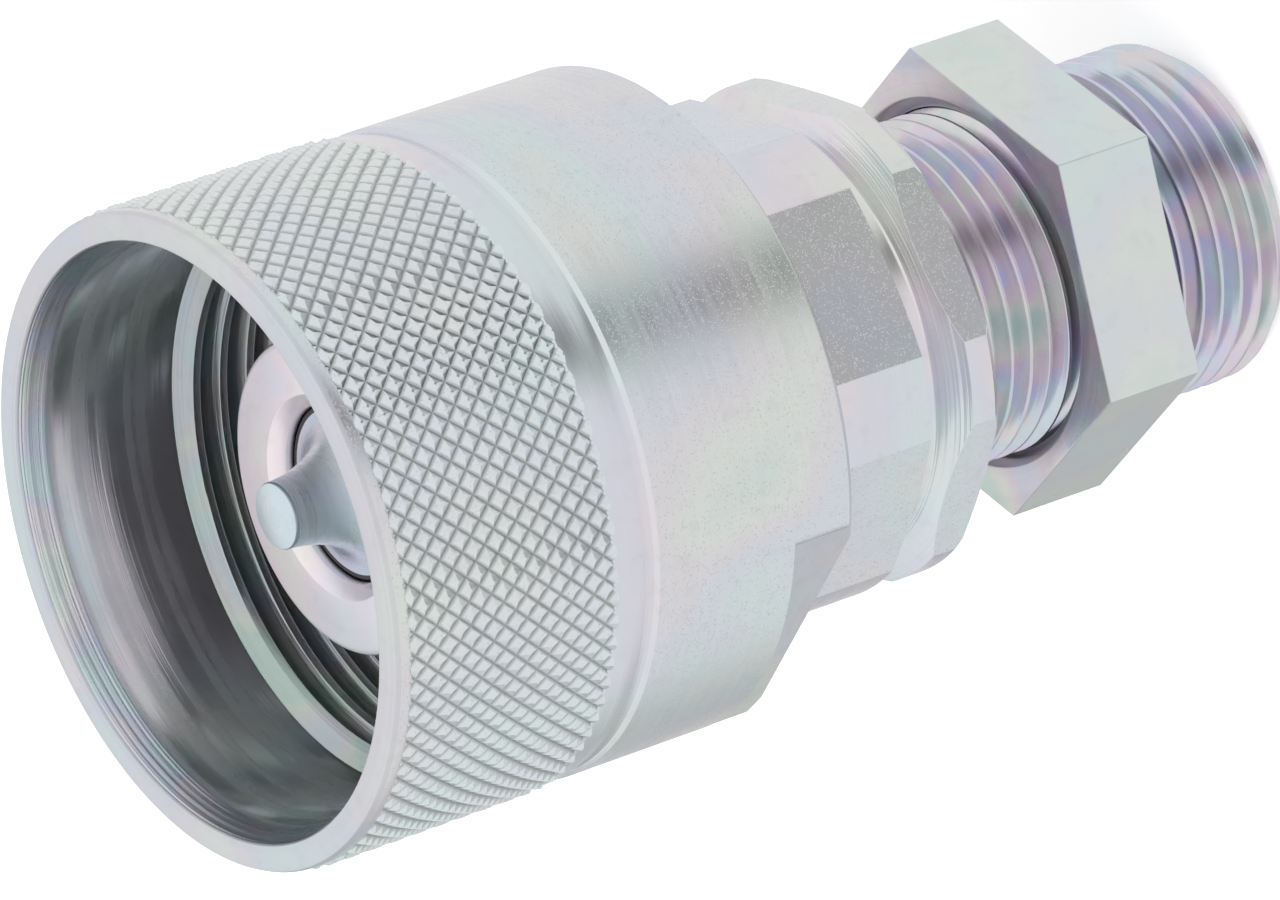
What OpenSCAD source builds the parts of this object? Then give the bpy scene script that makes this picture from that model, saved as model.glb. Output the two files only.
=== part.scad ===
// Screw-to-connect hydraulic quick coupling half with a bulkhead stud:
// knurled union sleeve, nose and valve body with a spring-loaded poppet, hexagon
// adaptor with a 24 degree cone tube end, and a bulkhead lock nut.
// The axis is Z, the tube end stands on Z = 0 and the mouth looks up.

/* [Bulkhead stud] */
// Major diameter of the stud thread
stud_d = 22; // [20:0.5:26]
// Length of the stud from the tube end to the collar
stud_length = 26.8; // [22:0.1:40]
// Axial length of the lead chamfer at the tube end
stud_lead = 1.1; // [0.4:0.1:1.5]
// Outer diameter of the tube that the stud takes
tube_d = 15; // [10:0.5:16]
// Diameter of the sealing cone at the tube end
cone_mouth_d = 17; // [16.2:0.1:17.6]
// Included angle of the sealing cone
cone_angle = 24; // [20:1:40]
// Depth at which the tube stops
tube_depth = 7; // [5.5:0.1:9]
// Diameter of the flow bore
flow_d = 12; // [7:0.5:12.5]

/* [Lock nut] */
// Radial step from the stud thread out to the flats of the lock nut
nut_wall = 2; // [1.6:0.1:4]
// Thickness of the lock nut
nut_height = 7; // [5:0.1:9]
// Height of the lower face of the lock nut above the tube end
nut_seat_z = 10.5; // [9.6:0.1:12]
// Angle at which the lock nut has come to rest
nut_turn = 41; // [0:1:60]
// Axial length of the countersink in each face of the lock nut
nut_countersink = 0.8; // [0.3:0.1:1.2]
// Radial clearance that stands for the thread play of the lock nut
nut_play = 0.05; // [0.03:0.01:0.1]

/* [Hexagon adaptor] */
// Radial step from the flats of the lock nut out to those of the hexagon
hex_step = 2; // [1.6:0.1:3]
// Radial step from the flats of the hexagon out to its turned-down corners
corner_rise = 1; // [0.8:0.1:1.5]
// Length of the full-width land of the collar
collar_land = 1.7; // [1:0.1:4]
// Axial length of the chamfer behind the collar
collar_chamfer = 0.6; // [0.2:0.1:1]
// Length of the groove between the collar and the hexagon
groove_length = 3.2; // [2.6:0.1:5]
// Radial step from the flats of the hexagon down to the groove bottom
groove_step = 1.1; // [0.8:0.1:1.5]
// Axial length of the conical flank on the collar side of the groove
groove_flank = 1.4; // [0.6:0.1:1.6]
// Axial length of the conical flank on the hexagon side of the groove
groove_front_flank = 0.7; // [0.3:0.1:0.9]
// Length of the hexagon in front of the groove
hex_length = 8.8; // [8.6:0.1:16]
// Thickness of the wall between the spigot and the flats of the hexagon
adaptor_wall = 2.5; // [2:0.1:2.8]
// Radial step from the journal up to the corners of the hexagon
corner_step = 0.9; // [0.7:0.1:1.2]
// Radial step from the spigot bore down to the throat
throat_step = 3.5; // [3:0.1:4.5]

/* [Nose bushing] */
// Diameter of the nose that enters the mating half
nose_d = 20; // [18.8:0.1:22]
// Length of the nose in front of its root
nose_length = 10.5; // [8:0.1:16]
// Chamfer round the nose face
nose_chamfer = 0.5; // [0.2:0.1:1]
// Radial step from the nose out to its root
nose_root_step = 1.5; // [0.8:0.1:2.5]
// Length of the nose root
nose_root_length = 2.4; // [1:0.1:4]
// Length of the threaded end of the bushing
bushing_length = 6.4; // [5.6:0.1:7]
// Radial step from the nose out to the threaded end
bushing_step = 0.4; // [0.2:0.1:0.6]
// Radial width of the nose round the valve orifice
nose_rim = 4.4; // [3.8:0.1:4.8]
// Length of the cylindrical land of the orifice
orifice_land = 0.5; // [0.2:0.1:1]
// Depth of the countersink in the nose face
countersink = 0.8; // [0.4:0.1:1.2]
// Thickness of the threaded end round the spring chamber
bushing_wall = 2.4; // [2:0.1:2.6]
// Section diameter of the O-ring on the bushing
bushing_oring_section = 1.2; // [1:0.1:1.4]

/* [Valve body] */
// Radial step from the journal out to the flange that holds the sleeve
flange_step = 1.5; // [1:0.1:2.5]
// Thickness of the flange
flange_height = 3.3; // [2.5:0.1:5]
// Length of the spigot that screws into the adaptor
spigot_length = 7.6; // [7.2:0.1:8]
// Radial width of the ledge that the valve guide rests on
guide_ledge = 1.5; // [1:0.1:1.8]

/* [Coupling sleeve] */
// Thickness of the sleeve wall round the mouth
sleeve_wall = 2.35; // [2:0.05:5]
// Height of the knurl over the smooth part of the sleeve
knurl_rise = 0.2; // [0.1:0.05:0.6]
// Length of the sleeve in front of the flange root
sleeve_reach = 22.9; // [20:0.1:26]
// Height of the knurl's teeth over their roots
knurl_depth = 0.35; // [0.25:0.05:0.5]
// Number of teeth round the knurl
knurl_teeth = 84; // [60:2:96]
// Length of the knurled band
knurl_length = 15.1; // [8:0.1:16]
// Length of the plain lip in front of the knurl
lip_length = 1.1; // [0.8:0.1:2]
// Length of the plain band between the knurl and the groove line
band_length = 2.6; // [1:0.1:4]
// Width of the groove line
line_width = 0.6; // [0.3:0.1:1]
// Depth of the groove line
line_depth = 0.3; // [0.1:0.1:0.5]
// Depth of each wrench flat of the sleeve
flats_depth = 2.5; // [1.5:0.1:2.8]
// Length of the wrench flats
flats_length = 4.7; // [3:0.1:6]
// Angle at which the wrench flats have come to rest
sleeve_turn = 19; // [0:1:180]
// Length of the inner rim that runs on the journal
rim_length = 6.6; // [6:0.1:7]
// Radial clearance round the flange inside the sleeve
room_play = 0.8; // [0.6:0.1:1.2]
// Radial clearance with which the flange passes the union thread
pass_play = 0.3; // [0.1:0.05:0.5]
// Radial step from the union thread's crests out to the mouth
union_depth = 1.25; // [0.8:0.05:2]
// Length of the union thread
union_length = 9.3; // [6:0.1:11]
// Axial length of the cone between that bore and the thread
union_lead = 1.2; // [0.6:0.1:2]
// Chamfer at the mouth
mouth_chamfer = 0.3; // [0.1:0.1:0.8]
// Chamfer round the rear edge of the sleeve
rear_chamfer = 0.6; // [0.2:0.1:1]
// Gap between the sleeve and the hexagon
sleeve_gap = 0.3; // [0.1:0.05:0.6]
// Radial running clearance of the sleeve on the journal
sleeve_play = 0.06; // [0.03:0.01:0.1]
// Thickness of the slip ring between the flange and the rim
slip_height = 1; // [0.6:0.1:1.6]
// Section diameter of the dirt wiper in the rim
wiper_section = 1.6; // [1.2:0.1:1.8]

/* [Poppet valve] */
// Diameter of the poppet tip
tip_d = 4.2; // [3:0.1:5]
// Length by which the tip stands out of the nose face
tip_reach = 4; // [2:0.1:6]
// Radial clearance of the flare in the orifice
flare_play = 0.4; // [0.2:0.1:0.8]
// Radial width by which the seal laps over the edge of the orifice
seal_lap = 1.1; // [0.7:0.1:1.4]
// Thickness of the seal
seal_height = 2.2; // [1.8:0.1:2.6]
// Gap between the seal and its seat
seat_gap = 0.1; // [0.05:0.05:0.2]
// Radial clearance round the seal washer and the spring plate
plate_play = 1; // [0.7:0.1:1.2]
// Thickness of the seal washer
washer_height = 1.6; // [1:0.1:2]
// Radial step from the flare in to the neck that carries the seal
neck_step = 0.6; // [0.4:0.1:1.2]
// Thickness of the spring plate
plate_height = 1.8; // [1.2:0.1:2.4]
// Diameter of the stem
stem_d = 5.2; // [4:0.1:6]
// Length of the stem behind the spring plate
stem_length = 27.4; // [23:0.1:29]
// Radial running clearance of the stem in the guide
stem_play = 0.05; // [0.03:0.01:0.1]

/* [Guide and spring] */
// Thickness of the valve guide
guide_height = 4; // [3:0.1:4.4]
// Diameter of the guide hub
hub_d = 8.4; // [7.6:0.1:9]
// Radial width of the guide rim
guide_rim = 1.4; // [1:0.1:1.8]
// Width of each leg of the guide
leg_width = 2.4; // [1.5:0.1:3.4]
// Number of legs of the guide
legs = 3; // [3:1:5]
// Section height of the snap ring
snap_height = 1; // [0.8:0.1:1.2]
// Depth of the snap ring groove
snap_depth = 0.6; // [0.4:0.1:0.8]
// Radial width of the snap ring
snap_width = 1.4; // [1.2:0.1:1.8]
// Thickness of the spring washer
seat_height = 1; // [0.6:0.1:1.4]
// Radial width of the spring washer beyond the spring
seat_margin = 0.3; // [0.1:0.1:0.6]
// Wire diameter of the spring
wire_d = 1.4; // [1:0.1:1.5]
// Radial clearance between the spring and the edge of its plate
coil_margin = 0.7; // [0.4:0.1:0.9]
// Number of turns of the spring
turns = 5; // [4:1:5]
// Section diameter of the O-ring on the spigot
oring_section = 1.6; // [1.2:0.1:1.8]
// Thickness of the backup ring behind the O-ring
backup_height = 1; // [0.6:0.1:1.4]
// Distance of the O-ring groove from the end of the spigot
oring_edge = 1.3; // [1:0.1:1.5]

/* [Hidden] */
$fn = 96;

// depth of the knurl's seat in the sleeve, and how far the band grips into it
knurl_seat = knurl_depth + 0.15;
band_grip = 0.1;

// diameters that follow from the stud outwards and from the nose inwards
nut_af = stud_d + 2 * nut_wall;
hex_af = nut_af + 2 * hex_step;
hex_turned_d = hex_af + 2 * corner_rise;
groove_d = hex_af - 2 * groove_step;
journal_d = hex_turned_d - 2 * corner_step;
flange_d = journal_d + 2 * flange_step;
union_minor_d = flange_d + 2 * pass_play;
mouth_d = union_minor_d + 2 * union_depth;
sleeve_room_d = flange_d + 2 * room_play;
sleeve_d = mouth_d + 2 * sleeve_wall;
knurl_d = sleeve_d + 2 * knurl_rise;
spigot_d = hex_af - 2 * adaptor_wall;
throat_d = spigot_d - 2 * throat_step;
orifice_d = nose_d - 2 * nose_rim;
bushing_d = nose_d + 2 * bushing_step;
chamber_d = bushing_d - 2 * bushing_wall;
guide_d = chamber_d + 2 * guide_ledge;
flare_d = orifice_d - 2 * flare_play;
neck_d = flare_d - 2 * neck_step;
seal_d = orifice_d + 2 * seal_lap;
plate_d = chamber_d - 2 * plate_play;
coil_d = plate_d - wire_d - 2 * coil_margin;

// heights along the adaptor, from the tube end up
collar_z = stud_length;
land_z = collar_z + collar_chamfer;
groove_z = land_z + collar_land;
hex_z = groove_z + groove_length;
front_z = hex_z + hex_length;
cone_depth = (cone_mouth_d - tube_d) / 2 / tan(cone_angle / 2);

// heights along the nose body
sleeve_z = front_z + sleeve_gap;
rim_z = sleeve_z + rim_length;
slip_z = rim_z + sleeve_gap;
flange_z = slip_z + slip_height;
root_z = flange_z + flange_height;
nose_z = root_z + nose_root_length;
face_z = nose_z + nose_length;
spigot_z = front_z - spigot_length;
seat_z = face_z - countersink - orifice_land;
bushing_z = root_z - bushing_length;
guide_z = bushing_z - 2.4;

// heights along the sleeve
mouth_z = root_z + sleeve_reach;
lip_z = mouth_z - lip_length;
knurl_z = lip_z - knurl_length;
line_z = knurl_z - band_length;
room_top = root_z + 1.8;
thread_top = room_top + union_length;

// the bore that the spigot screws into ends just under the spigot
pocket_z = spigot_z - 0.2;
throat_z = pocket_z - 2.4;
throat_cone = (throat_d - flow_d) / 2;

// heights along the valve
seal_top = seat_z;
washer_top = seal_top - seal_height;
plate_top = washer_top - washer_height;
plate_z = plate_top - plate_height;
tip_z = face_z + tip_reach;
spring_z = guide_z + seat_height;
spring_length = plate_z - spring_z;

// A solid of revolution from [radius, height] points.
module revolve(points) {
    rotate_extrude() polygon(points);
}

// A ring between two diameters.
module ring(outer, inner, z, h) {
    translate([0, 0, z]) difference() {
        cylinder(d = outer, h = h);
        translate([0, 0, -1]) cylinder(d = inner, h = h + 2);
    }
}

// A hexagonal prism given by its width across flats.
module hexagon(af, z, h) {
    translate([0, 0, z]) cylinder(d = af / cos(30), h = h, $fn = 6);
}

// The turned outline of the adaptor: stud, collar, groove and hexagon.
module adaptor_outline() {
    r = hex_turned_d / 2;
    g = groove_d / 2;
    s = stud_d / 2;
    revolve([
        [0, 0], [s - stud_lead, 0], [s, stud_lead], [s, collar_z],
        [r - 1.6 * collar_chamfer, collar_z], [r, land_z], [r, groove_z],
        [g, groove_z + groove_flank], [g, hex_z - groove_front_flank],
        [r, hex_z], [r, front_z], [0, front_z]]);
}

// Hexagon bar turned to the outline and bored for tube, flow and valve.
module hex_adaptor() {
    color("lightsteelblue") difference() {
        intersection() {
            adaptor_outline();
            hexagon(hex_af, 0, front_z);
        }
        revolve([
            [0, -1], [cone_mouth_d / 2 + tan(cone_angle / 2), -1],
            [tube_d / 2, cone_depth], [tube_d / 2, tube_depth],
            [flow_d / 2, tube_depth], [flow_d / 2, throat_z - throat_cone],
            [throat_d / 2, throat_z], [throat_d / 2, pocket_z],
            [spigot_d / 2, pocket_z], [spigot_d / 2, front_z + 1],
            [0, front_z + 1]]);
    }
}

// Bulkhead lock nut with a countersink in each face.
module lock_nut() {
    r = stud_d / 2 + nut_play;
    c = nut_countersink;
    color("lightgray") translate([0, 0, nut_seat_z]) rotate([0, 0, nut_turn])
        difference() {
            hexagon(nut_af, 0, nut_height);
            revolve([
                [0, -1], [r + c + 1, -1], [r, c], [r, nut_height - c],
                [r + c + 1, nut_height + 1], [0, nut_height + 1]]);
        }
}

// Valve body: flange, journal and spigot in one turned piece.
module valve_body() {
    c = chamber_d / 2;
    g = guide_d / 2;
    k = spigot_d / 2;
    b = bushing_d / 2;
    groove = k - oring_section;
    oring_z = spigot_z + oring_edge;
    snap_z = guide_z - guide_height - snap_height;
    color("silver") revolve([
        [g, spigot_z], [k, spigot_z], [k, oring_z], [groove, oring_z],
        [groove, oring_z + oring_section + backup_height],
        [k, oring_z + oring_section + backup_height], [k, front_z],
        [journal_d / 2, front_z], [journal_d / 2, flange_z],
        [flange_d / 2, flange_z], [flange_d / 2, root_z],
        [b, root_z], [b, bushing_z], [c, bushing_z], [c, guide_z],
        [g, guide_z], [g, snap_z + snap_height],
        [g + snap_depth, snap_z + snap_height],
        [g + snap_depth, snap_z], [g, snap_z]]);
}

// Nose with the conical seat, screwed into the valve body.
module nose_bushing() {
    n = nose_d / 2;
    o = orifice_d / 2;
    c = chamber_d / 2;
    b = bushing_d / 2;
    q = bushing_oring_section;
    color("rosybrown") revolve([
        [c, bushing_z], [b, bushing_z], [b, bushing_z + q],
        [b - q, bushing_z + q], [b - q, bushing_z + 2 * q],
        [b, bushing_z + 2 * q], [b, root_z],
        [n + nose_root_step, root_z], [n + nose_root_step, nose_z],
        [n, nose_z], [n, face_z - nose_chamfer],
        [n - nose_chamfer, face_z], [o + countersink, face_z],
        [o, face_z - countersink], [o, seat_z], [c, seat_z - c + o]]);
}

// O-ring between the nose bushing and the valve body.
module bushing_oring() {
    q = bushing_oring_section;
    color("dimgray") translate([0, 0, bushing_z + 1.5 * q])
        rotate_extrude() translate([(bushing_d - q) / 2, 0])
            circle(d = q, $fn = 32);
}

// O-ring in the groove of the spigot.
module body_oring() {
    color("dimgray")
        translate([0, 0, spigot_z + oring_edge + oring_section / 2])
            rotate_extrude()
                translate([(spigot_d - oring_section) / 2, 0])
                    circle(d = oring_section, $fn = 32);
}

// Backup ring on the low-pressure side of the O-ring.
module body_backup_ring() {
    color("ivory") ring(spigot_d, spigot_d - 2 * oring_section,
        spigot_z + oring_edge + oring_section, backup_height);
}

// The diamond knurl as a closed band: pointed teeth between two crossing
// sets of helical grooves, plain at both ends where it sinks into the sleeve.
module knurl_band(outer, inner, z, h) {
    tip = outer / 2;
    base = tip - knurl_depth;
    m = 2 * knurl_teeth;
    rows = 2 * floor(h / (PI * outer / m) / 2);
    points = concat(
        [for (j = [0 : rows], i = [0 : m - 1])
            let(a = 360 * i / m,
                r = (i + j) % 2 == 0 && j > 0 && j < rows ? tip : base)
            [r * cos(a), r * sin(a), z + h * j / rows]],
        [for (k = [0, 1], i = [0 : m - 1]) let(a = 360 * i / m)
            [inner / 2 * cos(a), inner / 2 * sin(a), z + h * k]]);
    lo = (rows + 1) * m;
    skin = [for (j = [0 : rows - 1], i = [0 : m - 1])
        let(k = (i + 1) % m, p = j * m + i, q = j * m + k, r = p + m, s = q + m)
        each (i + j) % 2 == 0
            ? [[p, r, q], [q, r, s]] : [[p, s, q], [p, r, s]]];
    caps = [for (i = [0 : m - 1]) let(k = (i + 1) % m, t = rows * m)
        each [[lo + i, i, k], [lo + i, k, lo + k],
              [lo + m + i, t + k, t + i], [lo + m + i, lo + m + k, t + k],
              [lo + i, lo + k, lo + m + k], [lo + i, lo + m + k, lo + m + i]]];
    color("silver") polyhedron(points, concat(skin, caps), 4);
}

// Union sleeve: knurl, wrench flats, union thread and inner rim.
module coupling_sleeve() {
    turned_sleeve();
    rotate([0, 0, sleeve_turn])
        knurl_band(knurl_d, sleeve_d - 2 * (knurl_seat + band_grip),
            knurl_z + band_grip, knurl_length - 2 * band_grip);
}

// The turned blank of the sleeve, with the seat of the knurl.
module turned_sleeve() {
    s = sleeve_d / 2;
    seat = s - knurl_seat;
    rim = journal_d / 2 + sleeve_play;
    w = rim + wiper_section - sleeve_play / 2;
    wiper_z = sleeve_z + 1.6;
    m = mouth_d / 2;
    u = union_minor_d / 2;
    room = sleeve_room_d / 2;
    color("silver") rotate([0, 0, sleeve_turn]) difference() {
        revolve([
            [rim, sleeve_z], [s - rear_chamfer, sleeve_z],
            [s, sleeve_z + rear_chamfer], [s, line_z - line_width],
            [s - line_depth, line_z - line_width / 2], [s, line_z],
            [s, knurl_z + 2 * band_grip], [seat, knurl_z + 2 * band_grip],
            [seat, lip_z - 2 * band_grip], [s, lip_z - 2 * band_grip],
            [s, mouth_z - mouth_chamfer],
            [s - mouth_chamfer, mouth_z], [m + mouth_chamfer, mouth_z],
            [m, mouth_z - mouth_chamfer], [m, thread_top + union_lead],
            [u, thread_top], [u, room_top], [room, room_top - room + u],
            [room, rim_z], [rim, rim_z],
            [rim, wiper_z + wiper_section], [w, wiper_z + wiper_section],
            [w, wiper_z], [rim, wiper_z]]);
        for (side = [0, 180]) rotate([0, 0, side])
            translate([sleeve_d / 2 - flats_depth, -sleeve_d / 2, sleeve_z - 1])
                cube([sleeve_d, sleeve_d, flats_length + 1]);
    }
}

// Slip ring between the flange and the rim of the sleeve.
module sleeve_slip_ring() {
    color("ivory") ring(flange_d, journal_d, slip_z, slip_height);
}

// Dirt wiper in the rim of the sleeve.
module sleeve_wiper() {
    mid = journal_d / 2 + sleeve_play / 2 + wiper_section / 2;
    color("dimgray")
        translate([0, 0, sleeve_z + 1.6 + wiper_section / 2])
            rotate_extrude() translate([mid, 0])
                circle(d = wiper_section, $fn = 32);
}

// The concave flank of the poppet, from the flare up to the tip.
function flare(steps) = let(
        r0 = flare_d / 2, r1 = tip_d / 2, h = tip_z - seal_top)
    [for (i = [1 : steps - 1]) let(a = 90 * i / steps)
        [r1 + (r0 - r1) * (1 - sin(a)), seal_top + h * (1 - cos(a))]];

// Poppet with a trumpet-shaped head that the mating poppet pushes.
module poppet() {
    color("lightblue") revolve(concat(
        [[0, plate_top], [neck_d / 2, plate_top], [neck_d / 2, seal_top],
         [flare_d / 2, seal_top]],
        flare(10),
        [[tip_d / 2, tip_z], [0, tip_z]]));
}

// Seal that closes on the conical seat of the nose.
module poppet_seal() {
    out = orifice_d / 2 - seat_gap * sqrt(2);
    color("black") revolve([
        [neck_d / 2, washer_top], [seal_d / 2, washer_top],
        [seal_d / 2, seal_top - seal_d / 2 + out], [out, seal_top],
        [neck_d / 2, seal_top]]);
}

// Washer that backs the seal.
module seal_washer() {
    color("silver") ring(plate_d, neck_d, plate_top, washer_height);
}

// Stem with the plate that the spring pushes.
module poppet_stem() {
    color("silver") {
        translate([0, 0, plate_z - stem_length])
            cylinder(d = stem_d, h = stem_length + plate_height);
        translate([0, 0, plate_z]) cylinder(d = plate_d, h = plate_height);
    }
}

// Closing spring, swept along its helix.
module valve_spring() {
    sides = 8;
    per_turn = 16;
    n = turns * per_turn;
    r = wire_d / 2;
    z0 = spring_z + r;
    z1 = plate_z - r;
    path = [for (i = [0 : n]) let(a = 360 * i / per_turn)
        [a, z0 + (z1 - z0) * i / n]];
    points = [for (p = path, j = [0 : sides - 1])
        let(b = 360 * j / sides, q = coil_d / 2 + r * cos(b))
        [q * cos(p[0]), q * sin(p[0]), p[1] + r * sin(b)]];
    skin = [for (i = [0 : n - 1], j = [0 : sides - 1])
        let(k = (j + 1) % sides)
        [i * sides + j, i * sides + k,
         (i + 1) * sides + k, (i + 1) * sides + j]];
    first = [for (j = [sides - 1 : -1 : 0]) j];
    last = [for (j = [0 : sides - 1]) n * sides + j];
    color("gray") polyhedron(points, concat(skin, [first, last]), 4);
}

// Washer that carries the spring on the legs of the guide.
module spring_washer() {
    color("silver") ring(coil_d + wire_d + 2 * seat_margin,
        coil_d - wire_d - 2 * seat_margin, guide_z, seat_height);
}

// Spider that guides the stem and lets the fluid pass.
module valve_guide() {
    inner = guide_d - 2 * guide_rim;
    color("goldenrod") translate([0, 0, guide_z - guide_height])
        difference() {
            union() {
                difference() {
                    cylinder(d = guide_d, h = guide_height);
                    translate([0, 0, -1])
                        cylinder(d = inner, h = guide_height + 2);
                }
                cylinder(d = hub_d, h = guide_height);
                for (i = [0 : legs - 1]) rotate([0, 0, 360 / legs * i])
                    translate([hub_d / 4, -leg_width / 2, 0])
                        cube([guide_d / 2 - guide_rim / 2 - hub_d / 4,
                            leg_width, guide_height]);
            }
            translate([0, 0, -1])
                cylinder(d = stem_d + 2 * stem_play, h = guide_height + 2);
        }
}

// Open snap ring under the guide.
module guide_snap_ring() {
    outer = guide_d + 2 * snap_depth;
    color("dimgray")
        translate([0, 0, guide_z - guide_height - snap_height])
            rotate([0, 0, 15]) rotate_extrude(angle = 330)
                translate([outer / 2 - snap_width, 0])
                    square([snap_width, snap_height]);
}

hex_adaptor();
lock_nut();
valve_body();
nose_bushing();
bushing_oring();
body_oring();
body_backup_ring();
coupling_sleeve();
sleeve_slip_ring();
sleeve_wiper();
poppet();
poppet_seal();
seal_washer();
poppet_stem();
valve_spring();
spring_washer();
valve_guide();
guide_snap_ring();
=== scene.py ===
"""Half of a screw-to-connect hydraulic quick coupling with a bulkhead stud.

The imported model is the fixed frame. Around it this script turns, mills, threads
and knurls the visible pieces, plates them with zinc and lights them in a white tent.
Sizes in the classes are in millimetres; meshes are in metres.
"""

import logging
import math
from dataclasses import dataclass, field
from enum import Enum, IntEnum
from typing import Callable, Iterable

import bmesh
import bpy
from mathutils import Matrix, Vector


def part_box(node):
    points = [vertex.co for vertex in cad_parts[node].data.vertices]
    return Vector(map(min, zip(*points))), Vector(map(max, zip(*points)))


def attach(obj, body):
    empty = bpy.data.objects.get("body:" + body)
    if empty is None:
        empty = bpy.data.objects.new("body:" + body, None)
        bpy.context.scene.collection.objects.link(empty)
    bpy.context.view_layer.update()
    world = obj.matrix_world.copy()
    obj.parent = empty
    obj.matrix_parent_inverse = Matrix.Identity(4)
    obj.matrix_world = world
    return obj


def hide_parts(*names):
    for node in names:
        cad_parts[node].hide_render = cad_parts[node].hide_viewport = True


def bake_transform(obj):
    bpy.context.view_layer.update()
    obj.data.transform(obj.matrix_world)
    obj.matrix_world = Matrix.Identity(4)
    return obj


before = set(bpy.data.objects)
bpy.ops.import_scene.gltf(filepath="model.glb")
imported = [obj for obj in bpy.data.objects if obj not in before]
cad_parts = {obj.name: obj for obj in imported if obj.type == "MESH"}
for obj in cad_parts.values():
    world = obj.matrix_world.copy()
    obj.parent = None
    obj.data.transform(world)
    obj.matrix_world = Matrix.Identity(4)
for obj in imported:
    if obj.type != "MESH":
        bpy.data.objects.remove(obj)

log = logging.getLogger("coupling")

MM = 0.001
Profile = list[tuple[float, float]]
Colour = tuple[float, float, float, float]
AXIS = Vector((0.0, 0.0, 1.0))
CENTRE = Vector((0.0, 0.0, 0.0))
NO_LIFT = (0.0, 0.0, 0.0)
WELD = 1e-7
HEXAGON = tuple(30.0 + 60.0 * k for k in range(6))


# ---------------------------------------------------------------- the lathe


def low_z(node: str) -> float:
    """The lowest height of a CAD node, in millimetres."""
    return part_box(node)[0].z / MM


def high_z(node: str) -> float:
    """The highest height of a CAD node, in millimetres."""
    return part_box(node)[1].z / MM


def reach(node: str) -> float:
    """The largest half width of a CAD node across the axis, in millimetres."""
    low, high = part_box(node)
    return max(-low.x, high.x, -low.y, high.y) / MM


def turn(profile: Profile, steps: int = 192, closed: bool = True) -> bmesh.types.BMesh:
    """Turns a profile round the axis into a shell with its normals outwards.

    Args:
        profile: Radius and height pairs in millimetres.
        steps: Number of facets round the axis.
        closed: False for a profile that starts and ends on the axis.

    Returns:
        The turned shell.
    """
    bm = bmesh.new()
    verts = [bm.verts.new((r * MM, 0.0, z * MM)) for r, z in profile]
    ends = verts[1:] + verts[:1] if closed else verts[1:]
    edges = [bm.edges.new(pair) for pair in zip(verts, ends)]
    bmesh.ops.spin(
        bm, geom=verts + edges, cent=CENTRE, axis=AXIS, dvec=NO_LIFT,
        angle=2 * math.pi, steps=steps, use_merge=True,
    )
    bmesh.ops.remove_doubles(bm, verts=bm.verts[:], dist=WELD)
    bmesh.ops.recalc_face_normals(bm, faces=bm.faces[:])
    return bm


def thread_ridge(
    section: Profile, pitch: float, start: float, turns: float, per_turn: int = 72
) -> bmesh.types.BMesh:
    """Sweeps the section of one ridge along its helix and closes both ends.

    Args:
        section: Radius and height of the ridge's corners about its middle.
        pitch: Axial distance between two ridges.
        start: Height of the middle of the ridge where it starts.
        turns: Number of turns.
        per_turn: Facets in one turn.

    Returns:
        The ridge as a closed mesh.
    """
    bm = bmesh.new()
    verts = [bm.verts.new((r * MM, 0.0, (start + z) * MM)) for r, z in section]
    edges = [bm.edges.new(pair) for pair in zip(verts, verts[1:] + verts[:1])]
    steps = round(turns * per_turn)
    bmesh.ops.spin(
        bm, geom=verts + edges, cent=CENTRE, axis=AXIS,
        dvec=(0.0, 0.0, pitch * MM / per_turn),
        angle=2 * math.pi * steps / per_turn, steps=steps,
    )
    ends = [e for e in bm.edges if e.is_boundary]
    bmesh.ops.holes_fill(bm, edges=ends, sides=0)
    bmesh.ops.recalc_face_normals(bm, faces=bm.faces[:])
    return bm


def hold_radius(bm: bmesh.types.BMesh, limit: Callable[[float, float], float]) -> None:
    """Brings each vertex to the radius that the limit gives for its radius and height."""
    for v in bm.verts:
        r = math.hypot(v.co.x, v.co.y)
        wanted = limit(r / MM, v.co.z / MM) * MM
        if r > 1e-9 and abs(wanted - r) > 1e-9:
            v.co.x *= wanted / r
            v.co.y *= wanted / r


def mill_flat(
    bm: bmesh.types.BMesh, distance: float, angle: float, tilt: float = 0.0
) -> None:
    """Mills a flat parallel to the axis and closes the cut.

    Args:
        bm: A closed shell.
        distance: Distance of the flat from the axis in millimetres.
        angle: Direction of the flat's normal in degrees.
        tilt: Angle in degrees by which the flat leans back.
    """
    a, t = math.radians(angle), math.radians(tilt)
    normal = Vector((math.cos(a) * math.cos(t), math.sin(a) * math.cos(t), math.sin(t)))
    cut = bmesh.ops.bisect_plane(
        bm, geom=bm.verts[:] + bm.edges[:] + bm.faces[:], dist=1e-8,
        plane_co=normal * distance * MM, plane_no=normal, clear_outer=True,
    )
    rim = [g for g in cut["geom_cut"] if isinstance(g, bmesh.types.BMEdge)]
    bmesh.ops.holes_fill(bm, edges=[e for e in rim if e.is_boundary], sides=0)


def break_edges(
    bm: bmesh.types.BMesh,
    width: float,
    angle: float = 25.0,
    segments: int = 2,
    keep: Callable[[bmesh.types.BMEdge], bool] | None = None,
) -> None:
    """Breaks the sharp edges of a mesh with a small round.

    Args:
        bm: The mesh.
        width: Width of the round in millimetres.
        angle: Edges whose faces meet at more than this many degrees are broken.
        segments: Number of facets in the round.
        keep: Tells which of the sharp edges are broken.
    """
    limit = math.radians(angle)
    sharp = [
        e for e in bm.edges
        if len(e.link_faces) == 2 and e.calc_face_angle(0.0) > limit
        and (keep is None or keep(e))
    ]
    bmesh.ops.bevel(
        bm, geom=sharp, offset=width * MM, offset_type="OFFSET", segments=segments,
        profile=0.5, affect="EDGES", clamp_overlap=True, material=-1,
    )


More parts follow.
